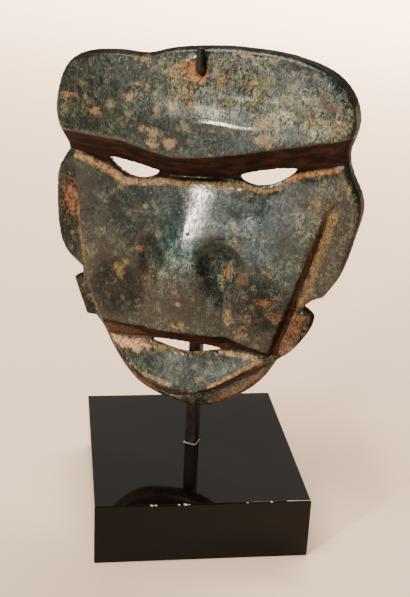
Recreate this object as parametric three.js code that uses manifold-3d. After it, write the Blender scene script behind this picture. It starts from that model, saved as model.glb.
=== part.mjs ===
// A carved stone pendant mask hung on a small display stand.
// Millimetres, +Z up. The mask faces -Y. The origin is the middle of the block's underside.

import * as THREE from 'three';
import { mergeVertices } from 'three/addons/utils/BufferGeometryUtils.js';
import Module from 'manifold-3d';

const wasm = await Module();
wasm.setup();

// Stand
const blockWidth = 84;
const blockDepth = 93;
const blockHeight = 25.4;
const blockEdge = 0.6;
const blockTurn = THREE.MathUtils.degToRad(29);
const barFromBlockMiddle = [0.8, 2.3];
const barSide = 4.8;
const barPocketDepth = 12;
const barAbovePin = 3.6;
const pinRadius = 1.5;
const pinAside = 0.8;
const pinBend = 3.2;
const pinReach = 11;
const pinTip = 8;
const fitGap = 0.3;

// Mask as a whole. Heights run from the lowest point of the chin, distances across from the bar,
// and depths forward from the bar's axis.
const chinAboveBlock = 21.2;
const crownHeight = 145.6;
const cheekHalf = 60;
const rimRound = 1.4;
const backMiddle = barSide / 2 + fitGap + 0.1;
const backFall = 3.9;
const backRimFall = 0.8;

// Suspension hole, drilled from both faces
const holeAt = [0.2, 136.3];
const holeThroat = 2.45;
const holeMouth = [-1.1, 136.3];
const holeFront = 4.3;
const holeBack = 3.4;

// Depths of the carved face in the middle, and how much less each is at the sides
const crownDepth = 7.6;
const crownFall = 1.2;
const ridgeDepth = 14.6;
const ridgeFall = 5.2;
const browDepth = 15.8;
const browFall = 5.6;
const valleyDepth = 7;
const valleyFall = 1.2;
const lidDepth = 9.5;
const lipFront = 16.8;
const mouthDepth = 7.2;
const jawSlope = 0.32;
const jawFall = 1.6;

// Strips of the ears and the chin outside the long groove
const stripDepth = 6.4;
const chinRise = 2.6;
const chinTop = 26;
const lugHeight = 42;
const lugDip = 1.2;
const grooveDepth = 0.9;
const grooveWall = 1.3;
const earFloor = 3.2;
const chinFloor = 1.6;
const grooveFades = 80;
const grooveEnds = 98;
const wideFloor = 2.4;
const wideHeight = 82;

// Nose, the hollows beside it and the channels below them
const noseRise = 1.8;
const noseFoot = 61.2;
const noseTop = 94;
const noseMiddle = -1;
const noseBase = 9;
const ridgeBlunt = 6;
const hollowDepth = 4.6;
const hollowSpring = 62;
const hollowRun = 36;
const channelDepth = 1.5;
const channelHalf = 16.4;
const channelWall = 2;
const channelWidth = 9;

// Spacing of the facets
const lineStep = 2.7;
const fieldStep = 3.2;
const noseStep = 2.1;
const backStep = 6.4;

const smooth = (from, to, x) => THREE.MathUtils.smoothstep(x, from, to);
const mix = THREE.MathUtils.lerp;

// A smooth line across the face: gives its height at any distance across.
function rowThrough(points) {
  const last = points.length - 1;
  const slopes = points.map((point, i) => {
    const before = points[Math.max(i - 1, 0)];
    const after = points[Math.min(i + 1, last)];
    return (after[1] - before[1]) / (after[0] - before[0]);
  });
  return (across) => {
    let i = 0;
    while (i < last - 1 && across > points[i + 1][0]) i++;
    const width = points[i + 1][0] - points[i][0];
    const t = (across - points[i][0]) / width;
    if (t < 0) return points[i][1] + slopes[i] * t * width;
    if (t > 1) return points[i + 1][1] + slopes[i + 1] * (t - 1) * width;
    const [a, b] = [points[i][1], points[i + 1][1]];
    const [p, q] = [slopes[i] * width, slopes[i + 1] * width];
    return a + t * (p + t * (3 * (b - a) - 2 * p - q + t * (2 * (a - b) + p + q)));
  };
}

// A freehand stretch of outline or groove, as evenly spaced points.
function stretch(points, step = lineStep) {
  const curve = new THREE.CatmullRomCurve3(
    points.map(([across, height]) => new THREE.Vector3(across, height, 0)), false, 'centripetal');
  const count = Math.max(2, Math.round(curve.getLength() / step));
  return curve.getSpacedPoints(count).map((point) => [point.x, point.y]);
}

// Stretches that meet at corners make one closed outline, anticlockwise from the front.
function closedOutline(stretches) {
  return stretches.flatMap((points) => stretch(points).slice(0, -1));
}

const outline = closedOutline([
  // chin and right jaw
  [[-43.4, 30.4], [-39.4, 25.7], [-35, 18.6], [-21.6, 5.4], [-3, 0.2], [8, 1.2], [24.4, 11], [31, 17.8],
    [36, 26.6]],
  // right ear lug
  [[36, 26.6], [41.2, 31], [45.6, 37.2], [48.6, 43.6], [48.6, 47.8], [44.6, 50.3]],
  // lower end of the right strip
  [[44.6, 50.3], [48, 53.9], [52.3, 55.9]],
  // right cheek, temple and crown
  [[52.3, 55.9], [57.4, 64.7], [61.4, 79.5], [63.6, 94.1], [58.4, 105.6], [56.9, 111.8], [59.4, 123],
    [56.8, 132.7], [49.8, 139.8], [36, 144.6], [16.8, 146.1], [0, 145.2], [-13, 143.2], [-22.6, 140.4],
    [-34.2, 140.3], [-50.2, 137.6], [-57, 131.2], [-60.3, 115], [-55.4, 101], [-60.3, 90.6],
    [-61.4, 76], [-58.3, 58.6], [-50, 50.6]],
  // left ear lug
  [[-50, 50.6], [-50, 48]],
  [[-50, 48], [-54.2, 45.2]],
  [[-54.2, 45.2], [-51, 36.9], [-47.6, 30.2]],
  [[-47.6, 30.2], [-43.4, 30.4]],
]);

// Lines carved across the face
const ridgeRow = rowThrough([[-58, 113], [-20, 117], [5, 119.2], [58, 122]]);
const browRow = rowThrough([[-56, 108.4], [-29, 108.2], [-8, 104.8], [15.7, 108.6], [57, 118.6]]);
const valleyRow = rowThrough([[-56, 99.6], [-35, 98.7], [-16, 96.2], [-8, 95.4], [13, 98.2], [56, 109]]);
const lipRow = rowThrough([[-36, 32.4], [-14, 33.8], [9, 35.4], [18, 35.6], [24, 33.8], [34, 31.2]]);
const mouthRow = rowThrough([[-35, 23.7], [-16.5, 26], [-2, 25.4], [10, 27.3], [19, 28.2], [33, 27.8]]);
const ledge = { least: 1.3, left: { at: -28, half: 16, drop: 5 }, right: { at: 26, half: 17, drop: 4.4 } };
const lidRow = (across) => {
  const { least, left, right } = ledge;
  const leftDrop = left.drop * bump(across, left.at, left.half);
  const rightDrop = right.drop * bump(across, right.at, right.half);
  return valleyRow(across) - least - leftDrop - rightDrop;
};

// The long groove that frames cheeks and jaw
const groovePoints = [[-52.6, 93], [-50.1, 74], [-45.5, 47.7], [-38.9, 31.3], [-33.6, 21], [-20, 9.6],
  [-5, 4.5], [8, 8.3], [22.5, 17.9], [32.2, 26.2], [38.3, 41.5], [44.9, 63.3], [49.7, 80], [53.4, 95]];
const groove = stretch(groovePoints, 1.2);

function bump(x, middle, half) {
  const t = (x - middle) / half;
  return Math.abs(t) < 1 ? (1 - t * t) ** 2 : 0;
}

// Even-odd test of a point in a closed outline
function within(loop, [x, y]) {
  let inside = false;
  for (let i = 0, j = loop.length - 1; i < loop.length; j = i++) {
    const [ax, ay] = loop[i];
    const [bx, by] = loop[j];
    if ((ay > y) !== (by > y) && x < ((bx - ax) * (y - ay)) / (by - ay) + ax) inside = !inside;
  }
  return inside;
}

// Distance to a line of points
function fromLine(line, across, height) {
  let best = Infinity;
  for (let i = 0; i < line.length - 1; i++) {
    const [ax, ay] = line[i];
    const [dx, dy] = [line[i + 1][0] - ax, line[i + 1][1] - ay];
    const t = THREE.MathUtils.clamp(((across - ax) * dx + (height - ay) * dy) / (dx * dx + dy * dy), 0, 1);
    best = Math.min(best, Math.hypot(across - ax - t * dx, height - ay - t * dy));
  }
  return best;
}

const closed = (line) => [...line, line[0]];
const fromOutline = (across, height) => fromLine(closed(outline), across, height);

// Distance to the long groove, positive on the side of the cheeks and jaw
const framed = [...groove, [60, crownHeight], [-60, crownHeight]];
function fromGroove(across, height) {
  return fromLine(groove, across, height) * (within(framed, [across, height]) ? 1 : -1);
}

// Cheeks, nose and upper lip. The two cheek planes meet on a blunt ridge down the middle.
const faceMiddle = rowThrough([[30, 16.6], [35, lipFront], [60, 17.4], [78, 13.6], [96, lidDepth]]);
const faceSide = rowThrough([[30, 10.6], [60, 10.6], [96, 8.2]]);
const faceHalf = 48;

// The scooped hollows beside the nose. The one on the left is narrower and shallower.
const hollows = [
  { side: 1, middle: 14.8, half: 9.4, top: 76, deep: hollowDepth },
  { side: -1, middle: 14.4, half: 6.4, top: 75, deep: hollowDepth * 0.6 },
];

function hollow(across, height) {
  const { side, middle, half, top, deep } = hollows[across > noseMiddle ? 0 : 1];
  const x = (side * (across - noseMiddle) - middle) / half;
  if (Math.abs(x) >= 1) return 0;
  const below = hollowSpring + (top - hollowSpring) * Math.sqrt(1 - x * x) - height;
  if (below < 0) return 0;
  const walls = x < 0 ? smooth(-1, -0.4, x) : 1 - smooth(0, 1, x);
  const scoop = smooth(0, 8, below) * (1 - smooth(9, hollowRun, below));
  return deep * scoop * mix(walls, 1, smooth(hollowSpring, hollowSpring + 8, height));
}

function channel(across, height) {
  const x = Math.abs(across - noseMiddle) - channelHalf;
  const depth = x < 0 ? Math.max(0, 1 + x / channelWall) : Math.max(0, 1 - x / channelWidth) ** 2;
  return channelDepth * depth * (1 - smooth(hollowSpring - 10, hollowSpring, height));
}

function nose(across, height) {
  if (height < noseFoot) return 0;
  const grown = 1 - smooth(noseFoot, noseTop, height);
  return noseRise * grown * bump(across, noseMiddle, 6 + 7 * grown);
}

function cheeks(across, height) {
  const run = Math.hypot(across - noseMiddle, ridgeBlunt) - ridgeBlunt;
  const t = 1 - run / (Math.hypot(faceHalf, ridgeBlunt) - ridgeBlunt);
  const sheet = mix(faceSide(height), faceMiddle(height), t);
  return sheet + nose(across, height) - hollow(across, height) - channel(across, height);
}

const sideways = (across) => (across / 58) ** 2;

// The face inside the groove, from the crown down to the jaw
function carvedFace(across, height) {
  const ridge = ridgeRow(across);
  const brow = browRow(across);
  const valley = valleyRow(across);
  const lid = lidRow(across);
  const lip = lipRow(across);
  const mouth = mouthRow(across);
  const side = sideways(across);
  const ridgeAt = ridgeDepth - ridgeFall * side;
  const browAt = browDepth - browFall * side;
  const valleyAt = valleyDepth - valleyFall * side;
  if (height > ridge) {
    const t = (height - ridge) / (crownHeight - ridge);
    return mix(ridgeAt, crownDepth - crownFall * side, t ** 1.2);
  }
  if (height > brow) return mix(browAt, ridgeAt, (height - brow) / (ridge - brow));
  if (height > valley) return mix(valleyAt, browAt, (height - valley) / (brow - valley));
  if (height > lid) return mix(cheeks(across, lid), valleyAt, (height - lid) / (valley - lid));
  if (height > lip) return cheeks(across, height);
  if (height > mouth) return mix(mouthDepth, cheeks(across, lip), (height - mouth) / (lip - mouth));
  return mouthDepth + jawSlope * (mouth - height) - jawFall * (across / 30) ** 2;
}

// The strip outside the groove: ears, lugs and the rim under the chin
function outerStrip(across, height) {
  const chin = 1 - smooth(4, chinTop, height);
  const lug = bump(height, lugHeight, 13) * smooth(40, 47, Math.abs(across));
  return stripDepth + chinRise * chin - lugDip * lug;
}

function frontDepth(across, height) {
  const inside = fromGroove(across, height);
  const open = 1 - smooth(grooveFades, grooveEnds, height);
  const strip = mix(carvedFace(across, height), outerStrip(across, height), open);
  const floor = strip - grooveDepth * open;
  const wider = across < 0 ? wideFloor * bump(height, wideHeight, 15) : 0;
  const floorWidth = (height > chinTop ? earFloor : chinFloor) + wider;
  let depth = strip;
  if (height < grooveEnds) {
    const wall = inside > 0 ? carvedFace(across, height) : strip;
    depth = mix(floor, wall, Math.min(1, inside > 0 ? inside / grooveWall : -inside / floorWidth));
  }
  return depth - Math.max(0, rimRound - fromOutline(across, height));
}

function backDepth(across, height) {
  const arch = backMiddle - backFall * (across / cheekHalf) ** 2;
  return arch + backRimFall * Math.max(0, rimRound - fromOutline(across, height));
}

// Slits: a nearly straight upper edge along a carved row, and an arched lower edge.
function slit({ row, from, to, sag, rise }) {
  const points = [];
  const count = Math.round((to - from) / noseStep);
  const along = (i) => 0.5 - 0.5 * Math.cos((Math.PI * i) / count);
  for (let i = 0; i <= count; i++) {
    const t = along(i);
    const across = mix(from, to, t);
    points.push([across, row(across) + 0.15 + rise * Math.sin(Math.PI * t)]);
  }
  for (let i = count - 1; i > 0; i--) {
    const t = along(i);
    const across = mix(from, to, t);
    points.push([across, row(across) - sag * Math.sin(Math.PI * t) ** 0.7]);
  }
  return points;
}

const slits = [
  { row: valleyRow, from: -37.2, to: -16, sag: 4.2, rise: 0.4, drop: 1, spread: 1 },
  { row: valleyRow, from: 17.4, to: 38.6, sag: 4.1, rise: 1.1, drop: 1, spread: 1 },
  { row: mouthRow, from: -17, to: 13, sag: 1.2, rise: 3.2, drop: 2.4, spread: 0.6 },
].map((one) => ({ ...one, front: slit(one) }));

// A closed loop moved to its left by a gap
function moved(loop, gap) {
  return loop.map(([x, y], i) => {
    const [ax, ay] = loop.at(i - 1);
    const [bx, by] = loop[(i + 1) % loop.length];
    const run = Math.hypot(bx - ax, by - ay);
    return [x - (gap * (by - ay)) / run, y + (gap * (bx - ax)) / run];
  });
}

// The back edge of a slit is lower and a little larger, as it is cut from above.
function backOf({ front, drop, spread }) {
  return moved(front, spread).map(([across, height]) => [across, height - drop]);
}

function ring([across, height], radius, count = 18) {
  const points = [];
  for (let i = 0; i < count; i++) {
    const angle = (-2 * Math.PI * i) / count;
    points.push([across + radius * Math.cos(angle), height + radius * Math.sin(angle)]);
  }
  return points;
}

// Delaunay triangles of the points, by adding them one at a time
function triangles(points) {
  const all = [...points, [-900, -900], [900, -900], [0, 1200]];
  const n = points.length;
  const circled = (a, b, c) => {
    const [ax, ay] = all[a];
    const [bx, by] = [all[b][0] - ax, all[b][1] - ay];
    const [cx, cy] = [all[c][0] - ax, all[c][1] - ay];
    const twice = 2 * (bx * cy - by * cx);
    const x = (cy * (bx * bx + by * by) - by * (cx * cx + cy * cy)) / twice;
    const y = (bx * (cx * cx + cy * cy) - cx * (bx * bx + by * by)) / twice;
    return { corners: [a, b, c], x: ax + x, y: ay + y, reach: x * x + y * y };
  };
  let faces = [circled(n, n + 1, n + 2)];
  for (let p = 0; p < n; p++) {
    const [x, y] = all[p];
    const open = new Map();
    faces = faces.filter((face) => {
      if ((x - face.x) ** 2 + (y - face.y) ** 2 > face.reach * (1 - 1e-12)) return true;
      for (let k = 0; k < 3; k++) {
        const [a, b] = [face.corners[k], face.corners[(k + 1) % 3]];
        if (!open.delete(`${b},${a}`)) open.set(`${a},${b}`, [a, b]);
      }
      return false;
    });
    for (const [a, b] of open.values()) faces.push(circled(a, b, p));
  }
  return faces.map((face) => face.corners).filter((corners) => Math.max(...corners) < n);
}

// One face of the mask: its loops, carved lines and a field of points between them
function sheetOf(loops, lines, fields, depthAt) {
  const points = loops.flat();
  const clearOf = (point, gap) => points.every(([x, y]) => Math.hypot(x - point[0], y - point[1]) > gap);
  const onSheet = (point) => within(loops[0], point) && !loops.slice(1).some((loop) => within(loop, point));
  for (const line of lines) {
    for (const point of line) if (onSheet(point) && clearOf(point, 0.75)) points.push(point);
  }
  const carved = points.slice();
  for (const { step, covers } of fields) {
    for (let row = 0; row * step < crownHeight * 1.2; row++) {
      for (let across = -66 + (row % 2) * step * 0.5; across < 66; across += step) {
        const shake = 0.04 * step * Math.sin(across * 7.1 + row * 3.7);
        const point = [across + shake, (row * step * Math.sqrt(3)) / 2 - shake];
        if (!covers(point) || !onSheet(point)) continue;
        const apart = ([x, y]) => Math.hypot(x - point[0], y - point[1]) > step * 0.8;
        if (carved.every(apart)) points.push(point);
      }
    }
  }
  const middleOf = (corners) => [0, 1].map((k) => corners.reduce((sum, c) => sum + points[c][k] / 3, 0));
  const faces = triangles(points).filter((corners) => onSheet(middleOf(corners)));
  const edges = new Set(faces.flatMap(([a, b, c]) => [`${a},${b}`, `${b},${c}`, `${c},${a}`]));
  let start = 0;
  for (const loop of loops) {
    loop.forEach((_, i) => {
      const edge = `${start + i},${start + ((i + 1) % loop.length)}`;
      if (!edges.has(edge)) throw new Error(`edge ${points[start + i]} of a loop is missing`);
    });
    start += loop.length;
  }
  return { faces, places: points.map(([x, y]) => [x, -depthAt(x, y), y]) };
}

function geometryOf(places, faces) {
  const geometry = new THREE.BufferGeometry();
  geometry.setAttribute('position', new THREE.Float32BufferAttribute(places.flat(), 3));
  geometry.setIndex(faces.flat());
  geometry.computeVertexNormals();
  return geometry;
}

// Lines of facets beside a carved line, so that its edges stay sharp
const beside = (line, gap) => line.map(([x, y], i) => {
  const [ax, ay] = line[Math.max(i - 1, 0)];
  const [bx, by] = line[Math.min(i + 1, line.length - 1)];
  const run = Math.hypot(bx - ax, by - ay);
  return [x - (gap * (by - ay)) / run, y + (gap * (bx - ax)) / run];
});

function rowLine(row, from, to, step = lineStep) {
  const points = [];
  const count = Math.round((to - from) / step);
  for (let i = 0; i <= count; i++) {
    const across = mix(from, to, i / count);
    points.push([across, row(across)]);
  }
  return points;
}

// Up one wall of a hollow, round its arched top and down the other wall
function archLine({ side, middle, half, top }, share) {
  const points = [];
  const [width, rise] = [half * share, (top - hollowSpring) * share];
  const place = (x, y) => points.push([noseMiddle + side * (middle + x * width), hollowSpring + y]);
  for (let y = 8 - hollowRun; y < 0; y += noseStep) place(-1, y);
  const count = Math.round((Math.PI * (width + rise)) / 2 / noseStep);
  for (let i = 0; i <= count; i++) {
    const angle = (Math.PI * i) / count;
    place(-Math.cos(angle), rise * Math.sin(angle));
  }
  for (let y = -noseStep; y > 8 - hollowRun; y -= noseStep) place(1, y);
  return points.filter(([across, height]) => height > lipRow(across) + 1.4);
}

// A crease of the upper lip, beside the nose
function creaseLine(across) {
  return stretch([[across, hollowSpring - 4], [across, lipRow(across) + 1.6]], noseStep);
}

const framedPart = (line) => line.filter(([across, height]) => fromGroove(across, height) > 0.6);

function maskGeometry() {
  const grooveLine = stretch(groovePoints);
  const lines = [
    grooveLine,
    beside(grooveLine, grooveWall),
    rowLine(browRow, -60, 60),
    rowLine(valleyRow, -60, 60),
    rowLine(ridgeRow, -60, 60),
    framedPart(rowLine(lidRow, -50, 52)),
    framedPart(rowLine(lipRow, -40, 40, noseStep)),
    framedPart(rowLine(mouthRow, -40, 40)),
    beside(grooveLine, -earFloor).filter(([, height]) => height > chinTop),
    beside(grooveLine, -chinFloor).filter(([, height]) => height <= chinTop),
    moved(outline, rimRound),
    ...slits.map(({ row, from, to }) => [from - 1, to + 1].map((across) => [across, row(across)])),
    rowLine(() => noseFoot, noseMiddle - noseBase, noseMiddle + noseBase),
    rowLine(() => noseFoot - 0.8, noseMiddle - noseBase, noseMiddle + noseBase),
    ...[channelHalf, channelHalf - channelWall].flatMap(
      (aside) => [creaseLine(noseMiddle - aside), creaseLine(noseMiddle + aside)]),
    ...hollows.flatMap((one) => [1, 0.72, 0.4].map((share) => archLine(one, share))),
  ];
  const frontHole = ring(holeMouth, holeFront);
  const backHole = ring(holeAt, holeBack);
  const frontLoops = [outline, ...slits.map(({ front }) => front), frontHole];
  const backLoops = [outline, ...slits.map(backOf), backHole];
  const besideNose = ([x, y]) => Math.abs(x - noseMiddle) < 27 && y > lipRow(x) && y < 80;
  const fields = [
    { step: fieldStep, covers: (point) => !besideNose(point) },
    { step: noseStep, covers: besideNose },
  ];
  const front = sheetOf(frontLoops, lines, fields, frontDepth);
  const backFields = [{ step: backStep, covers: () => true }];
  const back = sheetOf(backLoops, [moved(outline, rimRound)], backFields, backDepth);

  const places = [...front.places, ...back.places];
  const faces = [...front.faces];
  const behind = front.places.length;
  for (const [a, b, c] of back.faces) faces.push([behind + a, behind + c, behind + b]);
  const wall = (a, c, count) => {
    for (let i = 0; i < count; i++) {
      const j = (i + 1) % count;
      faces.push([a + i, c + i, c + j], [a + i, c + j, a + j]);
    }
  };
  let start = 0;
  for (const loop of frontLoops.slice(0, -1)) {
    wall(start, behind + start, loop.length);
    start += loop.length;
  }
  // The hole narrows to its throat half-way through the stone.
  const throat = places.length;
  const throatY = -(frontDepth(...holeAt) * 0.62 + backMiddle * 0.38);
  ring(holeAt, holeThroat).forEach(([x, y]) => places.push([x, throatY, y]));
  wall(start, throat, frontHole.length);
  wall(throat, behind + start, frontHole.length);
  return geometryOf(places, faces);
}

function solidOf(geometry) {
  const bare = geometry.clone();
  bare.deleteAttribute('normal');
  bare.deleteAttribute('uv');
  const merged = mergeVertices(bare, 1e-4);
  const vertProperties = new Float32Array(merged.attributes.position.array);
  const triVerts = new Uint32Array(merged.index.array);
  return new wasm.Manifold(new wasm.Mesh({ numProp: 3, vertProperties, triVerts }));
}

function fromSolid(solid) {
  const { vertProperties, triVerts } = solid.getMesh();
  const geometry = new THREE.BufferGeometry();
  geometry.setAttribute('position', new THREE.BufferAttribute(vertProperties, 3));
  geometry.setIndex(new THREE.BufferAttribute(triVerts, 1));
  geometry.computeVertexNormals();
  return geometry;
}

// The block, with small polished bevels and the pocket that the bar stands in
function blockGeometry() {
  const half = [blockWidth / 2 - blockEdge, blockDepth / 2 - blockEdge];
  const plan = new THREE.Shape([[-1, -1], [1, -1], [1, 1], [-1, 1]].map(
    ([x, y]) => new THREE.Vector2(x * half[0], y * half[1])));
  const block = new THREE.ExtrudeGeometry(plan, {
    depth: blockHeight - 2 * blockEdge,
    bevelSize: blockEdge,
    bevelThickness: blockEdge,
    bevelSegments: 2,
  });
  block.translate(0, 0, blockEdge);
  const pocketSide = barSide + 2 * fitGap;
  const pocket = new THREE.BoxGeometry(pocketSide, pocketSide, barPocketDepth * 2);
  pocket.rotateZ(-blockTurn);
  pocket.translate(barFromBlockMiddle[0], barFromBlockMiddle[1], blockHeight);
  return fromSolid(solidOf(block).subtract(solidOf(pocket)));
}

const pinHeight = holeAt[1] + holeThroat - fitGap - pinRadius;

function barGeometry() {
  const top = chinAboveBlock + pinHeight + barAbovePin;
  const bar = new THREE.BoxGeometry(barSide, barSide, top + barPocketDepth - fitGap);
  bar.translate(0, 0, (top - barPocketDepth + fitGap) / 2);
  return bar;
}

// The pin leaves the bar's front face level, then turns up in front of the mask.
function pinGeometry() {
  const path = new THREE.CurvePath();
  const level = chinAboveBlock + pinHeight;
  const start = new THREE.Vector3(pinAside, -barSide / 2 - fitGap, level);
  const bend = new THREE.Vector3(pinAside, -pinReach + pinBend, level);
  const corner = new THREE.Vector3(pinAside, -pinReach, level);
  const rise = new THREE.Vector3(pinAside, -pinReach, level + pinBend);
  const tip = new THREE.Vector3(pinAside, -pinReach, level + pinTip);
  path.add(new THREE.LineCurve3(start, bend));
  path.add(new THREE.QuadraticBezierCurve3(bend, corner, rise));
  path.add(new THREE.LineCurve3(rise, tip));
  const section = new THREE.Shape();
  section.absarc(0, 0, pinRadius, 0, 2 * Math.PI);
  return new THREE.ExtrudeGeometry(section, { extrudePath: path, steps: 12, curveSegments: 6 });
}

const stone = new THREE.MeshStandardMaterial({ color: 0x5c685c, roughness: 0.32, metalness: 0 });
const polishedBlack = new THREE.MeshStandardMaterial({ color: 0x0d0d0e, roughness: 0.06, metalness: 0 });
const blackSteel = new THREE.MeshStandardMaterial({ color: 0x1b1917, roughness: 0.5, metalness: 0.8 });

function piece(name, geometry, material) {
  const mesh = new THREE.Mesh(geometry, material);
  mesh.name = name;
  return mesh;
}

const part = new THREE.Group();

const block = new THREE.Group();
block.rotation.z = blockTurn;
block.add(piece('base_block', blockGeometry(), polishedBlack));

// Everything that the bar carries stands on the bar's own axis, square to the mask.
const standing = new THREE.Group();
const barPlace = new THREE.Vector3(...barFromBlockMiddle, blockHeight);
standing.position.copy(barPlace.applyAxisAngle(new THREE.Vector3(0, 0, 1), blockTurn));
standing.add(piece('post', barGeometry(), blackSteel));
standing.add(piece('hook_pin', pinGeometry(), blackSteel));

const mask = piece('mask', maskGeometry(), stone);
mask.position.z = chinAboveBlock;
standing.add(mask);

part.add(block, standing);

export default part;
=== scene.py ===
"""A carved green stone mask, hung by a steel hook on its polished black block."""
import math

import bpy
import numpy as np
from mathutils import Matrix, Vector, noise


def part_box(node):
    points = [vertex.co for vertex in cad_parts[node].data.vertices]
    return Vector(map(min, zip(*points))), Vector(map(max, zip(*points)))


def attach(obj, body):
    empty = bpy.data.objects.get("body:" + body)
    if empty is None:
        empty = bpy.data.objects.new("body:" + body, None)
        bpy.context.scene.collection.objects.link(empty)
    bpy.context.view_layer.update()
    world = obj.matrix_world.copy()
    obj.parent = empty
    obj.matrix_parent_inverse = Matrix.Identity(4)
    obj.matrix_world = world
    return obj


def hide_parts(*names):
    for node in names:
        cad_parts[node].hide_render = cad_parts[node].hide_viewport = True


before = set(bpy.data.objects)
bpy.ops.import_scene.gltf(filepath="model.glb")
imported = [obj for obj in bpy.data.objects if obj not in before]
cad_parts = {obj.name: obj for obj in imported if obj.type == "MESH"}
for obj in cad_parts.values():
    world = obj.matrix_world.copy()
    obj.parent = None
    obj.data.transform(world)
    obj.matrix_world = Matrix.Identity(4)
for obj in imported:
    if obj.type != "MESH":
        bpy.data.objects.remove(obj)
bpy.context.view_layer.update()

MM = 0.001

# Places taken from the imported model
BAR_LOW, BAR_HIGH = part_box("post")
BAR_X = (BAR_LOW.x + BAR_HIGH.x) / 2
BAR_Y = (BAR_LOW.y + BAR_HIGH.y) / 2
BAR_SIDE = BAR_HIGH.x - BAR_LOW.x
BLOCK_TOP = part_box("base_block")[1].z
HOOK_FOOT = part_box("hook_pin")[0].z

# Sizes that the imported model's boxes don't give
CHIN_ABOVE_BLOCK = 21.2 * MM
CHIN_Z = BLOCK_TOP + CHIN_ABOVE_BLOCK
BLOCK_TURN = math.radians(29)
BLOCK_DEPTH = 93 * MM
MERGE_REACH = 0.02 * MM

# Photograph's camera
CAMERA_AT = Vector((144.07, -372.10, 251.00)) * MM
CAMERA_RIGHT = Vector((0.9278, 0.3703, 0.0451))
CAMERA_UP = Vector((-0.1763, 0.3291, 0.9277))
PHOTO_HEIGHT = 597
FOCAL_PIXELS = 1073.5
SENSOR = 36

# The Mix node's colour sockets, which share their names with others
MIX_FIRST = 6
MIX_SECOND = 7
MIX_RESULT = 2


# Nodes

def tone(red, green, blue, alpha=1.0):
    """A colour given as on a screen, 0 to 255, as Blender's linear values."""
    def linear(part):
        part /= 255
        return part / 12.92 if part <= 0.04045 else ((part + 0.055) / 1.055) ** 2.4
    return (linear(red), linear(green), linear(blue), alpha)


class Signal:
    """The value of one node socket. Operators on it add Math nodes."""

    def __init__(self, finish, socket):
        self.finish = finish
        self.socket = socket

    def other(self, output):
        """Another output of the same node."""
        return Signal(self.finish, self.socket.node.outputs[output])

    def math(self, operation, *values):
        return self.finish.add("Math", {"operation": operation}, dict(enumerate(values)))

    def __add__(self, other):
        return self.math("ADD", self, other)

    def __radd__(self, other):
        return self.math("ADD", other, self)

    def __sub__(self, other):
        return self.math("SUBTRACT", self, other)

    def __rsub__(self, other):
        return self.math("SUBTRACT", other, self)

    def __mul__(self, other):
        return self.math("MULTIPLY", self, other)

    def __rmul__(self, other):
        return self.math("MULTIPLY", other, self)

    def __abs__(self):
        return self.math("ABSOLUTE", self)


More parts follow.
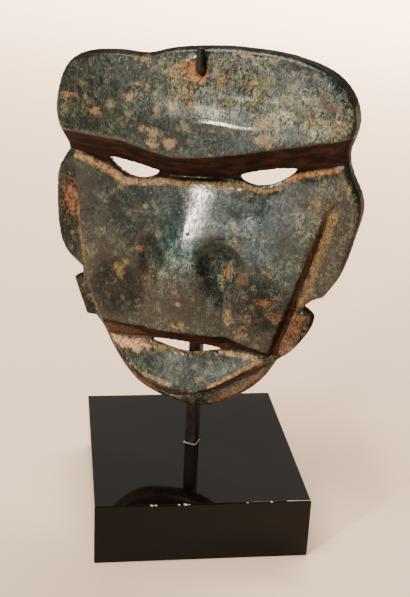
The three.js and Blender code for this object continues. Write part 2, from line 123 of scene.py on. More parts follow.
class Finish:
    """A procedural material, written as expressions on Signals."""

    def __init__(self, name):
        self.material = bpy.data.materials.new(name)
        self.material.use_nodes = True
        self.nodes = self.material.node_tree.nodes
        self.links = self.material.node_tree.links
        self.nodes.clear()

    def add(self, kind, settings=None, inputs=None, output=0):
        """One node of a kind, its settings first and then its sockets, as a Signal of one output."""
        node = self.nodes.new("ShaderNode" + kind)
        for name, value in (settings or {}).items():
            if name == "stops":
                self.set_stops(node.color_ramp, value)
            else:
                setattr(node, name, value)
        for name, value in (inputs or {}).items():
            if isinstance(value, Signal):
                self.links.new(value.socket, node.inputs[name])
            else:
                node.inputs[name].default_value = value
        return Signal(self, node.outputs[output]) if output is not None else node

    @staticmethod
    def set_stops(ramp, stops):
        while len(ramp.elements) < len(stops):
            ramp.elements.new(1.0)
        for element, (position, colour) in zip(ramp.elements, stops):
            element.position = position
            element.color = colour

    def place(self, stretch=(1, 1, 1), turn=(0, 0, 0)):
        """Object coordinates in millimetres, stretched along the axes."""
        raw = self.add("TexCoord", output="Object")
        scale = [part / MM for part in stretch]
        return self.add("Mapping", None, {"Vector": raw, "Scale": scale, "Rotation": turn})

    def cloud(self, place, size, detail=3.0, roughness=0.55, distortion=0.0):
        """Noise from 0 to 1 whose lumps are about size millimetres across."""
        settings = {"noise_dimensions": "3D", "normalize": True}
        inputs = {"Vector": place, "Scale": 1 / size, "Detail": detail,
                  "Roughness": roughness, "Distortion": distortion}
        return self.add("TexNoise", settings, inputs)

    def warped(self, place, size, reach):
        """A place shifted by up to reach millimetres by noise of a size."""
        inputs = {"Vector": place, "Scale": 1 / size, "Detail": 2.0}
        drift = self.add("TexNoise", None, inputs, output="Color")
        centred = self.add("VectorMath", {"operation": "SUBTRACT"}, {0: drift, 1: (0.5, 0.5, 0.5)})
        scaled = self.add("VectorMath", {"operation": "SCALE"}, {0: centred, "Scale": 2 * reach})
        return self.add("VectorMath", {"operation": "ADD"}, {0: place, 1: scaled})

    def cells(self, place, size):
        """How far each place lies from the nearest of points scattered about size millimetres apart."""
        return self.add("TexVoronoi", {"feature": "F1"}, {"Vector": place, "Scale": 1 / size})

    def fade(self, value, low, high):
        """0 below low and 1 above high, smoothly between; low may be the higher one."""
        settings = {"interpolation_type": "SMOOTHSTEP"}
        if low < high:
            return self.add("MapRange", settings, {"Value": value, "From Min": low, "From Max": high})
        return 1 - self.add("MapRange", settings, {"Value": value, "From Min": high, "From Max": low})

    def mix(self, factor, first, second, blend="MIX"):
        settings = {"data_type": "RGBA", "blend_type": blend, "clamp_factor": True}
        inputs = {0: factor, MIX_FIRST: first, MIX_SECOND: second}
        return self.add("Mix", settings, inputs, output=MIX_RESULT)

    def scaled(self, colour, factor):
        """A colour made darker or lighter by a factor."""
        return self.add("VectorMath", {"operation": "SCALE"}, {0: colour, "Scale": factor})

    def attribute(self, name, output="Fac"):
        """A value stored on the piece's vertices, or with Color or Alpha a part of a stored colour."""
        return self.add("Attribute", {"attribute_name": name}, output=output)

    def bumped(self, height, depth):
        """The normal of a surface raised by depth millimetres where the height is 1."""
        return self.add("Bump", None, {"Height": height, "Distance": depth * MM, "Strength": 1.0})

    def shader(self, colour, roughness, normal=None, **plain):
        inputs = {"Base Color": colour, "Roughness": roughness}
        if normal:
            inputs["Normal"] = normal
        for name, value in plain.items():
            inputs[name.replace("_", " ")] = value
        return self.add("BsdfPrincipled", None, inputs)

    def done(self, shader):
        self.add("OutputMaterial", None, {"Surface": shader}, output=None)
        return self.material


# Meshes

def deselect():
    if bpy.context.object and bpy.context.object.mode != "OBJECT":
        bpy.ops.object.mode_set(mode="OBJECT")
    bpy.ops.object.select_all(action="DESELECT")


def activate(piece):
    deselect()
    piece.select_set(True)
    bpy.context.view_layer.objects.active = piece
    return piece


def copy_of(node, name):
    """A merged copy of a node's mesh, as a new piece."""
    piece = bpy.data.objects.new(name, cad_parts[node].data.copy())
    bpy.context.scene.collection.objects.link(piece)
    piece.data.materials.clear()
    activate(piece)
    bpy.ops.object.mode_set(mode="EDIT")
    bpy.ops.mesh.select_all(action="SELECT")
    bpy.ops.mesh.remove_doubles(threshold=MERGE_REACH)
    bpy.ops.mesh.select_all(action="DESELECT")
    bpy.ops.object.mode_set(mode="OBJECT")
    return piece


def modify(piece, kind, **settings):
    """Adds a modifier and applies it."""
    activate(piece)
    bpy.ops.object.modifier_add(type=kind)
    modifier = piece.modifiers[-1]
    for name, value in settings.items():
        setattr(modifier, name, value)
    bpy.ops.object.modifier_apply(modifier=modifier.name)


def vertices(piece):
    values = np.empty(len(piece.data.vertices) * 3, np.float32)
    piece.data.vertices.foreach_get("co", values)
    return values.reshape(-1, 3).astype(float)


def set_vertices(piece, places):
    piece.data.vertices.foreach_set("co", places.astype(np.float32).ravel())
    piece.data.update()


def normals(piece):
    values = np.empty(len(piece.data.vertices) * 3, np.float32)
    piece.data.vertex_normals.foreach_get("vector", values)
    return values.reshape(-1, 3).astype(float)


# The mask's own coordinates

def on_mask(places):
    """Distance across from the bar, height above the chin and depth forward of the bar, in mm."""
    return (places[:, 0] - BAR_X) / MM, (places[:, 2] - CHIN_Z) / MM, (BAR_Y - places[:, 1]) / MM


def smooth(low, high, values):
    """0 below low and 1 above high, smoothly between."""
    t = np.clip((values - low) / (high - low), 0, 1)
    return t * t * (3 - 2 * t)


def within(mark, across, height):
    """1 in the middle of an elliptic mark, 0 on its edge and less outside."""
    middle_across, middle_height, long, wide, turn = mark
    angle = math.radians(turn)
    x, y = across - middle_across, height - middle_height
    along = (x * math.cos(angle) + y * math.sin(angle)) / long
    aside = (y * math.cos(angle) - x * math.sin(angle)) / wide
    return 1 - np.hypot(along, aside)


def noise_at(places, size, seed=0.0, octaves=1):
    """Noise from about -1 to 1 at each place, with lumps of a size in millimetres."""
    shift = Vector((seed, seed * 0.7, seed * 1.3))
    found = np.zeros(len(places))
    for octave in range(octaves):
        scale = 2 ** octave / (size * MM)
        share = 0.5 ** octave
        found += share * np.array([noise.noise(Vector(place) * scale + shift) for place in places])
    return found


# Rows carved across the face, as (across, height) in millimetres
BROW_ROW = [(-58, 108.4), (-29, 108.2), (-18, 106.4), (-8, 104.8), (2, 105.8), (15.7, 108.6), (58, 118.8)]
VALLEY_ROW = [(-58, 101), (-35, 98.7), (-16, 96.2), (-8, 95.4), (13, 98.2), (36, 103.4), (58, 109.6)]
LIP_ROW = [(-37, 32.4), (-14, 33.8), (9, 35.4), (18, 35.6), (24, 33.8), (35, 31.2)]
MOUTH_ROW = [(-36, 23.7), (-16.5, 26), (-2, 25.4), (10, 27.3), (19, 28.2), (35, 27.8)]
# Lower limit of the earth and painted shade under the brow
LEDGE_ROW = [(-58, 100.4), (-50, 99.6), (-44, 98.4), (-36, 96.2), (-28.5, 92.5), (-16, 95.2), (-8, 95.6),
             (13, 97.6), (19, 97.4), (30, 99), (37, 102.2), (58, 109)]

# The nose's crest: (height, across, depth in the solid, depth wanted), in millimetres
CREST = [(58, -2.2, 17.5, 17.4), (61, -2.2, 18.9, 18.1), (63, -2.2, 18.7, 18), (66, -2.2, 18.1, 17.7),
         (70, -2.2, 17, 17), (74, -1.9, 15.7, 16), (78, -1.2, 14.4, 14.8), (82, -0.4, 13.2, 13.55),
         (86, 0.7, 12, 12.3), (90, 1.7, 10.95, 11.1), (92.5, 2.2, 10.3, 10.35), (94, 2.4, 10, 10)]
# The faint step across the forehead, as (across, height)
STREAK = [(-0.9, 118.6), (5, 119), (10.8, 118.8), (18.5, 118.2), (26.6, 118.6)]
# Grooves that hold earth, darkened as painted shade: (half width, points)
GROOVES = [
    (0.6, [(-52.4, 93), (-50.6, 80), (-49.2, 70), (-47, 57), (-45.2, 48), (-42, 39.4), (-38.7, 31)]),
    (0.7, [(-38.7, 31), (-33.4, 20.7), (-27, 14.6), (-20, 9.4), (-5, 4.6), (8, 8.4), (22.5, 18), (32, 26)]),
    (0.35, [(54.6, 95.4), (52.4, 89.7), (50.4, 83), (48.8, 76.5), (47, 70), (44.8, 62.4), (42.8, 53.4)]),
    (0.5, [(42.8, 53.4), (40.4, 45.2), (38, 36.9), (35.4, 29)]),
]

# Lighter lumps in the stone: (across, height, half length, half width, turn in degrees), in millimetres
LUMPS = {
    "peach": (tone(132, 106, 74), [
        (-26, 139, 1.6, 1.4, 0), (-21.6, 138.6, 2.6, 2.4, 0), (-6.5, 137.8, 3.4, 2, 24),
        (-9.4, 135, 2.6, 2.3, 40), (-4, 129.4, 3.4, 2.5, 10), (-3, 125.1, 2.7, 2.1, -11),
        (-8.4, 124.1, 1.7, 2.6, 0), (-26.8, 124.6, 2.5, 2, 24), (-14.6, 121.2, 1.9, 2.9, -12),
        (-19.7, 128.5, 1.6, 1.4, 0), (-15.5, 108.4, 3, 2.2, 0), (-9, 109.6, 3.6, 2.3, 17),
        (-20, 113.6, 3, 1.6, 0), (9.6, 134, 3.8, 3, 44), (13, 138.7, 2, 1.6, 0),
        (20.6, 133.7, 2.4, 3, -30), (27.5, 142.6, 2.6, 1.8, 0), (17.4, 143.8, 4.4, 1.4, 0),
        (35.4, 139, 2.2, 1.4, 20), (-1.8, 47.4, 1.6, 1.4, 0), (-2.4, 37.5, 4.2, 1.8, 3)]),
    "orange": (tone(122, 86, 62), [
        (-52.6, 122.1, 4.6, 1.5, 4), (-40.7, 117.4, 4.4, 2, 0), (-23.2, 129.5, 5, 0.9, 7),
        (-18.9, 83.1, 1.4, 1.1, 45), (2.3, 80.7, 1.3, 1.1, 0), (-20.6, 66.3, 2, 1.9, 0),
        (17.8, 80.6, 1.8, 1.8, 0), (15.6, 62.6, 3, 3.4, 0), (31, 52.9, 4.6, 2.2, 23),
        (36.5, 47.4, 3.2, 2.9, 12), (-54.8, 80.6, 11, 4.2, 90)]),
    "tan": (tone(120, 100, 66), [
        (-14.7, 112.8, 3.8, 1.9, 16), (27.4, 121, 5.4, 2.4, 0), (28, 115.4, 6, 3.4, 6),
        (43.9, 122.7, 2.4, 2, 25), (53.4, 121, 4.6, 2.4, 0), (-28.4, 90.8, 2.2, 1.5, 9),
        (-25.7, 59.8, 2.2, 1.9, 12), (47.4, 92.3, 3.4, 2.9, 8), (57.4, 100.6, 2, 2.6, 0),
        (52, 93, 3, 1.4, 60), (-11.9, 22.7, 5.2, 1.2, 6), (6.3, 14.2, 2.6, 1.5, 29),
        (18, 44.4, 2, 6, 0), (33, 63.9, 1.2, 1.2, 0), (24, 38, 4, 2, 20), (-29, 56, 3, 4, 0)]),
    # Cream lumps; on the jaw's upper left their paleness is partly a painted highlight
    "cream_and_highlight": (tone(196, 158, 120), [
        (-27.5, 22.1, 6.6, 1.7, 10), (-23.3, 20.4, 3, 2.4, 13), (-31, 19.4, 2, 1.4, 30),
        (-8.4, 9.9, 4.4, 1.3, -7), (18, 26, 4.2, 0.8, 0), (24.6, 25.6, 4, 0.8, -4)]),
    "olive": (tone(98, 98, 74), [
        (-35.1, 120.2, 3.4, 1.6, 28), (-3.1, 116.2, 3.6, 3.2, 7), (26.6, 135, 4.6, 3.4, 38),
        (36, 134, 2.8, 2.5, 0), (25.5, 129.1, 2, 2.6, 0), (33.2, 129.6, 2.6, 2.2, 0),
        (41, 127.6, 6.4, 3, 4), (21, 93.3, 3.2, 1.9, 8), (45.7, 80.9, 1.4, 1.1, 0),
        (14.2, 56.4, 1.1, 2.4, 0), (22, 127.2, 4, 1.8, 0), (12, 127, 5, 2, 0)]),
    "rust": (tone(84, 50, 34), [
        (-47.9, 127.1, 2, 0.7, 0), (43.3, 138.5, 1.4, 2.1, 0), (50, 129.2, 7, 1.6, -12),
        (44.2, 62.5, 2.1, 2, 70), (22.4, 61.5, 3, 3.4, 0), (-12.2, 142, 1.8, 1, 12)]),
}

# Worn and earthy lines, some of them painted shade and painted highlights: (tone, half width, points)
LINES = [
    (tone(152, 116, 82), 1.5, [(-51, 98.2), (-45, 96.8), (-38.8, 95), (-33.9, 93), (-29.4, 91)]),
    (tone(152, 116, 82), 1.3, [(-29.4, 91.2), (-22.3, 91.6), (-15.9, 92.8), (-11, 93.4)]),
    (tone(124, 98, 64), 1.3, [(-11, 93.4), (-3.7, 93.6), (3.8, 94.2), (12, 95), (18.4, 96)]),
    (tone(130, 108, 78), 1.0, [(18.4, 96.4), (23.3, 95.2), (28, 95), (32.4, 96.6), (36.4, 99.2)]),
    (tone(156, 108, 72), 1.1, [(37, 100.9), (41, 102.6), (46, 104.2), (51, 105.6), (55, 106.6)]),
    # Tan wear along the left groove's outer wall, lightened as a painted highlight where the wall catches
    # light
    (tone(132, 100, 68), 0.8, [(-52.4, 82), (-51.1, 72.8), (-49.2, 59.5), (-47, 47.7), (-43.7, 37.3)]),
    (tone(126, 94, 62), 1.1, [(-46, 44), (-43.9, 37.3), (-41.1, 32.5), (-38.2, 28.5)]),
    # The right groove's inner wall: earth, painted as shade warmed by red bounced light
    (tone(84, 66, 50), 0.6, [(53.4, 95.4), (49.6, 83), (46.4, 70), (44.2, 62.4), (42.2, 53.4)]),
    (tone(84, 48, 35), 0.8, [(42.2, 53.4), (39.8, 45.2), (37.4, 36.9), (34.8, 29)]),
    (tone(120, 98, 68), 2.1, [(54.2, 90), (52.2, 82.6), (50.6, 76), (49, 69), (46.8, 60), (44.6, 52)]),
    (tone(112, 82, 58), 2.4, [(43.8, 46), (42, 40), (39.2, 34)]),
    # The tan band above the chin groove's right part: tan stone with a painted highlight
    (tone(164, 134, 92), 1.2, [(11, 11.8), (14.7, 14.2), (19.4, 17.6), (24.1, 21.2), (30, 25)]),
    # The chin groove's dark line: earth, darkened as painted shade in the groove
    (tone(56, 27, 20), 1.0, [(-33.5, 19.5), (-28.7, 12.8), (-21.4, 8.8), (-12, 7.8), (-5.3, 7.2), (1, 7.2)]),
    (tone(56, 27, 20), 1.0, [(1, 7.2), (7.5, 7.6), (15.4, 11.8), (23.1, 17), (29.6, 21.8), (34.1, 25.3)]),
    (tone(134, 112, 86), 1.0, [(-20.4, 11.6), (-15, 11), (-9, 10)]),
    (tone(104, 76, 54), 2.0, [(12, 4.6), (19, 9.4), (26, 14.6), (31, 20)]),
    (tone(100, 74, 54), 1.8, [(-36, 21.6), (-30, 13.4), (-22, 7.4), (-14, 3.6)]),
    (tone(92, 66, 54), 3.2, [(-35, 28), (-28, 28.4), (-22, 28.8)]),
    # The red streak under the upper lip: red earth, with the red of bounced light painted in
    (tone(86, 30, 18), 1.2, [(-24, 26.9), (-14, 28.2), (-4, 28.4), (8, 30.2), (18, 30.8)]),
    # The pale band on the jaw's upper left: pale stone, brightened as a painted highlight
    (tone(208, 166, 130), 2.2, [(-34.5, 21.6), (-28.7, 21.6), (-23.4, 22), (-18.8, 22.8)]),
    (tone(130, 110, 82), 1.3, [(-18.8, 23.4), (-10, 23.6), (0, 24), (8, 25.2)]),
    (tone(176, 150, 118), 1.1, [(13, 26.2), (19, 26.4), (23.9, 26.2), (28, 26)]),
    # Painted shade along the arch of the hollow right of the nose
    (tone(52, 60, 54), 1.8, [(4.8, 68), (6.6, 71), (9.4, 72.6), (12.4, 72.4), (16.3, 70.9), (19.8, 68.8),
                             (22.6, 66.2)]),
]
# The suspension hole with the worn ring round it
HOLE = (-0.6, 136.1, 4.4, 4.4, 0)
HOLE_TONE = tone(186, 132, 92)

# Where the polish has gone: (strength, (across, height, half length, half width, turn))
DULLED = [
    (0.85, (6, 132, 34, 13, -2)), (0.8, (-56, 70, 7, 34, 0)), (0.85, (-49, 36, 8, 12, 20)),
    (0.9, (14, 62, 10, 13, 0)), (0.9, (50, 44, 10, 14, -20)), (0.8, (0, 2, 40, 9, 0)),
    (0.6, (2, 24, 30, 4, 4)), (0.8, (-15, 64, 9, 12, 0)), (0.7, (22, 88, 11, 6, 20)),
    (0.9, (46, 103.4, 13, 3.4, 15)), (0.9, (14, 96.6, 13, 1.8, 4)), (0.9, (8, 26, 17, 2.4, 4)),
    (0.4, (2, 19, 30, 8, 2)), (0.7, (-36, 97, 14, 4, -16)), (0.8, (10, 131, 24, 8, 0)),
    (0.9, (26, 95, 11, 3, 6)), (0.7, (30, 52, 14, 16, 0)), (0.7, (-30, 48, 16, 16, 0)),
]

# Small pits, each with a lump's five measures
PITS = [
    (-42.8, 66.2, 1.5, 0.8, 12), (-55.8, 65, 1.4, 0.9, 9), (-34.8, 53.3, 1.3, 0.6, 29),
    (-23.7, 53.9, 2.3, 0.8, 28), (-5.1, 66, 3.9, 0.5, 41), (-8.3, 75.4, 1.2, 0.5, 13),
    (-22, 80.6, 5.3, 0.6, 5), (0.3, 75.7, 0.6, 0.6, 0), (22.4, 84.7, 2.4, 0.4, 32),
    (17.7, 88.8, 1.2, 0.4, 8), (43.3, 125.6, 3.1, 0.4, 25), (-26.6, 49, 1.3, 0.6, 30),
    (8.2, 60.1, 0.8, 0.9, 0), (9.1, 50.5, 1.3, 0.8, 16), (35.4, 70, 1.3, 0.9, 7),
    (45.1, 134.6, 0.7, 0.5, 6), (48.2, 134.9, 0.7, 0.4, 5), (37.5, 142, 0.8, 0.6, 4),
    (24.3, 116.6, 1.5, 0.9, 6), (-17.8, 109.8, 1.6, 0.8, -20), (-42, 48, 2, 0.8, 10),
    (-55.3, 133.7, 1.2, 0.8, 46), (31.6, 35.3, 1.2, 0.5, 19), (29.9, 26.4, 1.4, 0.5, 8),
    (40.2, 50.5, 0.7, 0.9, 70),
]

# Broad tints, a few of them painted sheen and painted shade: (tone, a lump's five measures), over the bare
# stone's own tone and its share of the mix
BARE_STONE = tone(74, 76, 62)
BARE_SHARE = 0.25
WASHES = [
    (tone(66, 62, 48), (-48, 130, 16, 14, 0)), (tone(56, 64, 58), (-30, 131, 12, 9, 0)),
    (tone(82, 78, 56), (-40, 118, 20, 7, 0)), (tone(64, 74, 66), (-12, 119, 14, 10, 0)),
    (tone(128, 120, 92), (-12, 130, 16, 9, 0)), (tone(92, 92, 74), (8, 136, 12, 8, 0)),
    (tone(96, 98, 84), (16, 124, 12, 4, 0)), (tone(50, 72, 70), (6, 112, 22, 6, 4)),
    # The pale washes on the forehead's right, at 34 and 32 across, are painted sheen
    (tone(172, 160, 126), (34, 124, 20, 8, 4)), (tone(58, 74, 68), (46, 137, 16, 6, -28)),
    (tone(126, 122, 94), (32, 128, 20, 4, -4)), (tone(96, 92, 76), (28, 138, 14, 7, -10)),
    (tone(46, 54, 45), (-42, 84, 14, 14, 0)), (tone(42, 58, 52), (-24, 82, 20, 13, 0)),
    # The blue-grey wash on the right cheek, at 20 across, is partly painted sheen
    (tone(84, 112, 102), (-2, 72, 10, 14, 0)), (tone(94, 110, 104), (20, 86, 18, 10, 0)),
    (tone(66, 84, 76), (34, 68, 12, 10, 0)), (tone(40, 33, 26), (-34, 50, 14, 14, 0)),
    # The narrow brown wash at 18 left of the middle is painted shade in the channel beside the nose
    (tone(62, 44, 31), (-18, 54, 4, 18, 4)), (tone(56, 45, 37), (30, 44, 13, 13, 0)),
    (tone(44, 44, 36), (2, 48, 10, 12, 0)), (tone(58, 68, 58), (2, 18, 20, 8, 0)),
    (tone(90, 80, 60), (56, 76, 6, 20, -14)), (tone(66, 58, 44), (-58, 74, 6, 24, 0)),
    (tone(150, 100, 66), (43, 40, 6, 12, -20)), (tone(88, 66, 54), (-50, 38, 6, 10, 20)),
    (tone(96, 76, 58), (-2, 2, 16, 4, 0)), (tone(52, 40, 32), (-12, 1, 20, 2, 0)),
    (tone(112, 86, 66), (27, 47, 11, 3.6, 35)), (tone(100, 104, 86), (11, 66, 5, 7, 0)),
]

# Fine relief, in millimetres
FOREHEAD_SWELL = 0.75
STROKE_DEPTH = 0.15
CHIP_DEPTH = 0.16
PIT_DEPTH = 0.12
HOLE_LINING = 0.6
HOOK_THICKENING = 0.5

# The nose's right side: its slight fall, and the rounding over its first millimetres
NOSE_FALL = 0.02
NOSE_ROUNDING = 0.006
NOSE_ROUND_REACH = 9

# Rounds of smoothing where the carving is soft
CARVED_FAIRING = 22


# Finishes

def green_stone():
    """Dark green stone crowded with lighter lumps, black dashes and earth left in the hollows, with painted
    shade under the brow and the lip and on the flanks.
    """
    stone = Finish("green_stone")
    place = stone.place()
    drifted = stone.warped(place, 6.0, 1.4)
    grain = stone.cloud(drifted, 0.75, detail=3.0, roughness=0.65)
    lumpy = stone.cloud(drifted, 3.6, detail=5.0, roughness=0.62, distortion=0.5)
    flakes = stone.cloud(drifted, 2.0, detail=4.0, roughness=0.6, distortion=1.4)
    broad = stone.cloud(place, 11, detail=3.0)

    mottle = stone.fade(0.3 * broad + 0.3 * lumpy + 0.3 * flakes + 0.1 * grain, 0.42, 0.63)
    stops = [(0.0, tone(18, 26, 25)), (0.3, tone(34, 44, 41)), (0.6, tone(56, 65, 57)),
             (0.85, tone(84, 86, 70)), (1.0, tone(114, 107, 82))]
    pattern = stone.add("ValToRGB", {"stops": stops}, {"Fac": mottle})
    wash = stone.attribute("wash", "Color")
    body = stone.mix(1.0, pattern, wash, "MULTIPLY")

    # Pebbles and crumbs
    pebbles = stone.cells(drifted, 3.4)
    chance = stone.add("SeparateColor", None, {"Color": pebbles.other("Color")})
    chosen = stone.fade(chance + 0.45 * stone.attribute("lumpiness"), 0.84, 0.92)
    pebble = chosen * stone.fade(pebbles + 0.7 * (lumpy - 0.5) + 0.4 * (grain - 0.5), 0.46, 0.2)
    pebble_tone = stone.mix(chance.other("Green"), tone(88, 92, 68), tone(124, 104, 76))
    body = stone.mix(pebble * 0.55, body, stone.scaled(pebble_tone, 0.3 + 1.0 * mottle + 0.3 * grain))
    crumbs = stone.cells(stone.warped(place, 1.6, 0.6), 1.3)
    crumb_chance = stone.add("SeparateColor", None, {"Color": crumbs.other("Color")})
    crumb = stone.fade(crumb_chance, 0.8, 0.88) * stone.fade(crumbs, 0.42, 0.22)
    body = stone.mix(crumb * 0.25, body, tone(104, 94, 66))

    # Placed lumps
    inlay = stone.attribute("inlay", "Color")
    edge = stone.attribute("inlay", "Alpha") + (flakes - 0.5) * 1.6 + (lumpy - 0.5) * 1.6
    inlaid = stone.fade(edge, -0.1, 0.8)
    speckle = stone.fade(0.6 * flakes + 0.4 * grain, 0.36, 0.6)
    body = stone.mix(inlaid * 0.8, body, stone.scaled(inlay, 0.4 + 0.9 * speckle))

    # Threads, dashes and specks
    threads = stone.cloud(stone.warped(place, 3.0, 1.4), 3.4, detail=4.0, roughness=0.6)
    broken = stone.fade(stone.cloud(place, 2.2, detail=2.0), 0.46, 0.62)
    pale_off = threads - 0.53
    dark_off = threads - 0.44
    pale_threads = stone.fade(abs(pale_off), 0.016, 0.0) * broken
    body = stone.mix(pale_threads * 0.4, body, tone(104, 94, 68))
    dark_threads = stone.fade(abs(dark_off), 0.03, 0.0) * (1.1 - broken)
    rising = stone.cloud(stone.place((2.4, 1, 0.7), (0, 0.6, 0)), 1.7, detail=3.0)
    falling = stone.cloud(stone.place((2.8, 1, 0.8), (0, -0.9, 0)), 1.3, detail=3.0)
    dashes = stone.fade(rising, 0.44, 0.38) + stone.fade(falling, 0.42, 0.36)
    body = stone.mix(0.3 * stone.fade(grain, 0.56, 0.68) * broken, body, tone(118, 114, 86))
    specks = stone.fade(grain, 0.46, 0.36) * (1 - broken)
    dark = (0.8 * dark_threads + 0.85 * dashes + 0.55 * specks) * (1 - 0.6 * inlaid)
    body = stone.mix(dark, body, tone(10, 14, 13))

    # Pits, painted shade on the flanks, earth with painted shade, and worn lines
    pit = stone.fade(stone.attribute("pit") + (grain - 0.5) * 0.8, 0.1, 0.5)
    body = stone.mix(pit * 0.85, body, tone(16, 13, 10))
    # Painted shade: flanks turned sideways are darkened to near black
    rim = stone.attribute("rim")
    body = stone.mix(rim * 0.85, body, tone(12, 10, 8))
    # Dark red-brown: earth in the grooves, and painted shade under the brow and the lip, reddened like light
    # bounced from below
    earth = stone.fade(stone.attribute("earth") + (lumpy - 0.5) * 0.5, 0.2, 0.8)
    streaks = stone.cloud(stone.place((0.2, 1, 0.8), (0, 0.1, 0)), 2.2, detail=4.0, roughness=0.6)
    earth_and_shade_tone = stone.mix(stone.fade(streaks, 0.38, 0.72), tone(18, 9, 6), tone(54, 28, 20))
    body = stone.mix(earth * 0.95, body, earth_and_shade_tone)
    line = stone.attribute("line", "Color")
    line_edge = stone.attribute("line", "Alpha") + (flakes - 0.5) * 0.9 + (lumpy - 0.5) * 1.5
    lined = stone.fade(line_edge, -0.3, 0.8)
    body = stone.mix(lined * 0.8, body, stone.scaled(line, 0.25 + 0.5 * grain + 0.9 * speckle))
    body = stone.mix(lined * (0.5 * dashes + 0.5 * dark_threads), body, tone(24, 18, 14))

    # Relief, polish and where it has gone
    off = stone.attribute("streak")
    streak = stone.fade(off, 1.2, -0.2) * stone.fade(off, -3.6, -0.4)
    rough = 0.12 + 0.12 * grain + 0.12 * inlaid + 0.25 * pit
    bumps = 0.3 * grain + 0.3 * lumpy - 0.6 * pit - 0.3 * dashes + 0.2 * earth + 1.7 * streak
    normal = stone.bumped(bumps, 0.08)
    polished = stone.shader(body, rough, normal, Specular_IOR_Level=0.5)
    dull = stone.shader(body, 0.8, normal, Specular_IOR_Level=0.08)
    dulled = stone.attribute("dulled") * (1 - stone.fade(off, 1.7, 1.1) * stone.fade(off, -0.8, -0.2))
    matte = 0.95 * earth + 0.8 * lined + 0.9 * rim + 0.4 * inlaid + dulled
    return stone.done(stone.add("MixShader", None, {0: matte, 1: polished, 2: dull}))


def polished_black(name, shine):
    """Mirror-polished black, with faint dust."""
    black = Finish(name)
    place = black.place()
    dust = black.fade(black.cloud(place, 0.9, detail=4.0, roughness=0.8), 0.66, 0.74)
    film = black.cloud(place, 26, detail=2.0)
    colour = black.mix(dust * 0.12, tone(13, 12, 12), tone(120, 116, 108))
    rough = 0.035 + 0.03 * film + 0.2 * dust
    return black.done(black.shader(colour, rough, Specular_IOR_Level=shine))


def chipped_edge_and_glint():
    """Pale bruises where the polish has chipped away, their paleness partly a painted highlight on the worn
    edge.
    """
    pale = Finish("chipped_edge_and_glint")
    grain = pale.cloud(pale.place(), 0.35, detail=4.0)
    colour = pale.mix(grain, tone(120, 112, 104), tone(226, 220, 210))
    return pale.done(pale.shader(colour, 0.6 + 0.2 * grain, pale.bumped(grain, 0.08)))


def blackened_steel():
    """Forged steel, blackened, with brown where it has rubbed."""
    steel = Finish("blackened_steel")
    place = steel.place()
    brushed = steel.cloud(steel.place((1, 1, 0.12)), 0.5, detail=3.0)
    patina = steel.fade(steel.cloud(place, 3.2, detail=5.0, roughness=0.7), 0.45, 0.68)
    colour = steel.mix(patina, tone(20, 19, 18), tone(58, 46, 36))
    rough = 0.48 + 0.2 * brushed + 0.12 * patina
    bumps = 0.6 * brushed + 0.4 * patina
    return steel.done(steel.shader(colour, rough, steel.bumped(bumps, 0.06), Metallic=0.55))


def dried_glue():
    """Greyish glue squeezed out round the bar's foot."""
    glue = Finish("dried_glue")
    grain = glue.cloud(glue.place(), 1.2, detail=4.0)
    colour = glue.mix(grain, tone(74, 74, 70), tone(156, 156, 150))
    return glue.done(glue.shader(colour, 0.35 + 0.25 * grain, glue.bumped(grain, 0.05)))


# Pieces

def subdivided(piece, angle, levels, rounding, fairing, soft=None):
    """Subdivides a piece, keeping edges sharper than an angle, then rounds them and fairs the rest.

    Soft takes places and says where edges are let go soft as well.
    """
    activate(piece)
    edges = piece.vertex_groups.new(name="edges")
    ground = piece.vertex_groups.new(name="ground")
    ground.add(range(len(piece.data.vertices)), 1.0, "REPLACE")
    bpy.ops.object.mode_set(mode="EDIT")
    bpy.ops.mesh.select_mode(type="EDGE")
    bpy.ops.mesh.edges_select_sharp(sharpness=math.radians(angle))
    if soft:
        bpy.ops.object.mode_set(mode="OBJECT")
        let_go = soft(vertices(piece))
        for edge in piece.data.edges:
            edge.select = edge.select and not let_go[list(edge.vertices)].all()
        bpy.ops.object.mode_set(mode="EDIT")
    bpy.ops.transform.edge_crease(value=1.0)
    piece.vertex_groups.active = ground
    bpy.ops.object.vertex_group_remove_from()
    piece.vertex_groups.active = edges
    bpy.ops.object.vertex_group_assign()
    bpy.ops.mesh.select_all(action="DESELECT")
    bpy.ops.object.mode_set(mode="OBJECT")
    if soft:
        carved = piece.vertex_groups.new(name="carved")
        carved.add(np.flatnonzero(let_go).tolist(), 1.0, "REPLACE")
    modify(piece, "SUBSURF", levels=levels, render_levels=levels)
    modify(piece, "SMOOTH", factor=0.5, iterations=fairing, vertex_group="ground")
    modify(piece, "SMOOTH", factor=0.5, iterations=rounding, vertex_group="edges")
    if soft:
        modify(piece, "SMOOTH", factor=0.5, iterations=CARVED_FAIRING, vertex_group="carved")
    piece.vertex_groups.clear()


def nose_and_cheeks(places):
    """Where the carving is soft: nose, hollows beside it and channels below them."""
    across, height, depth = on_mask(places)
    return (np.abs(across - 1) < 30) & (height > 37.5) & (height < 90) & (depth > 7)


def row_height(row, across):
    return np.interp(across, *zip(*row))


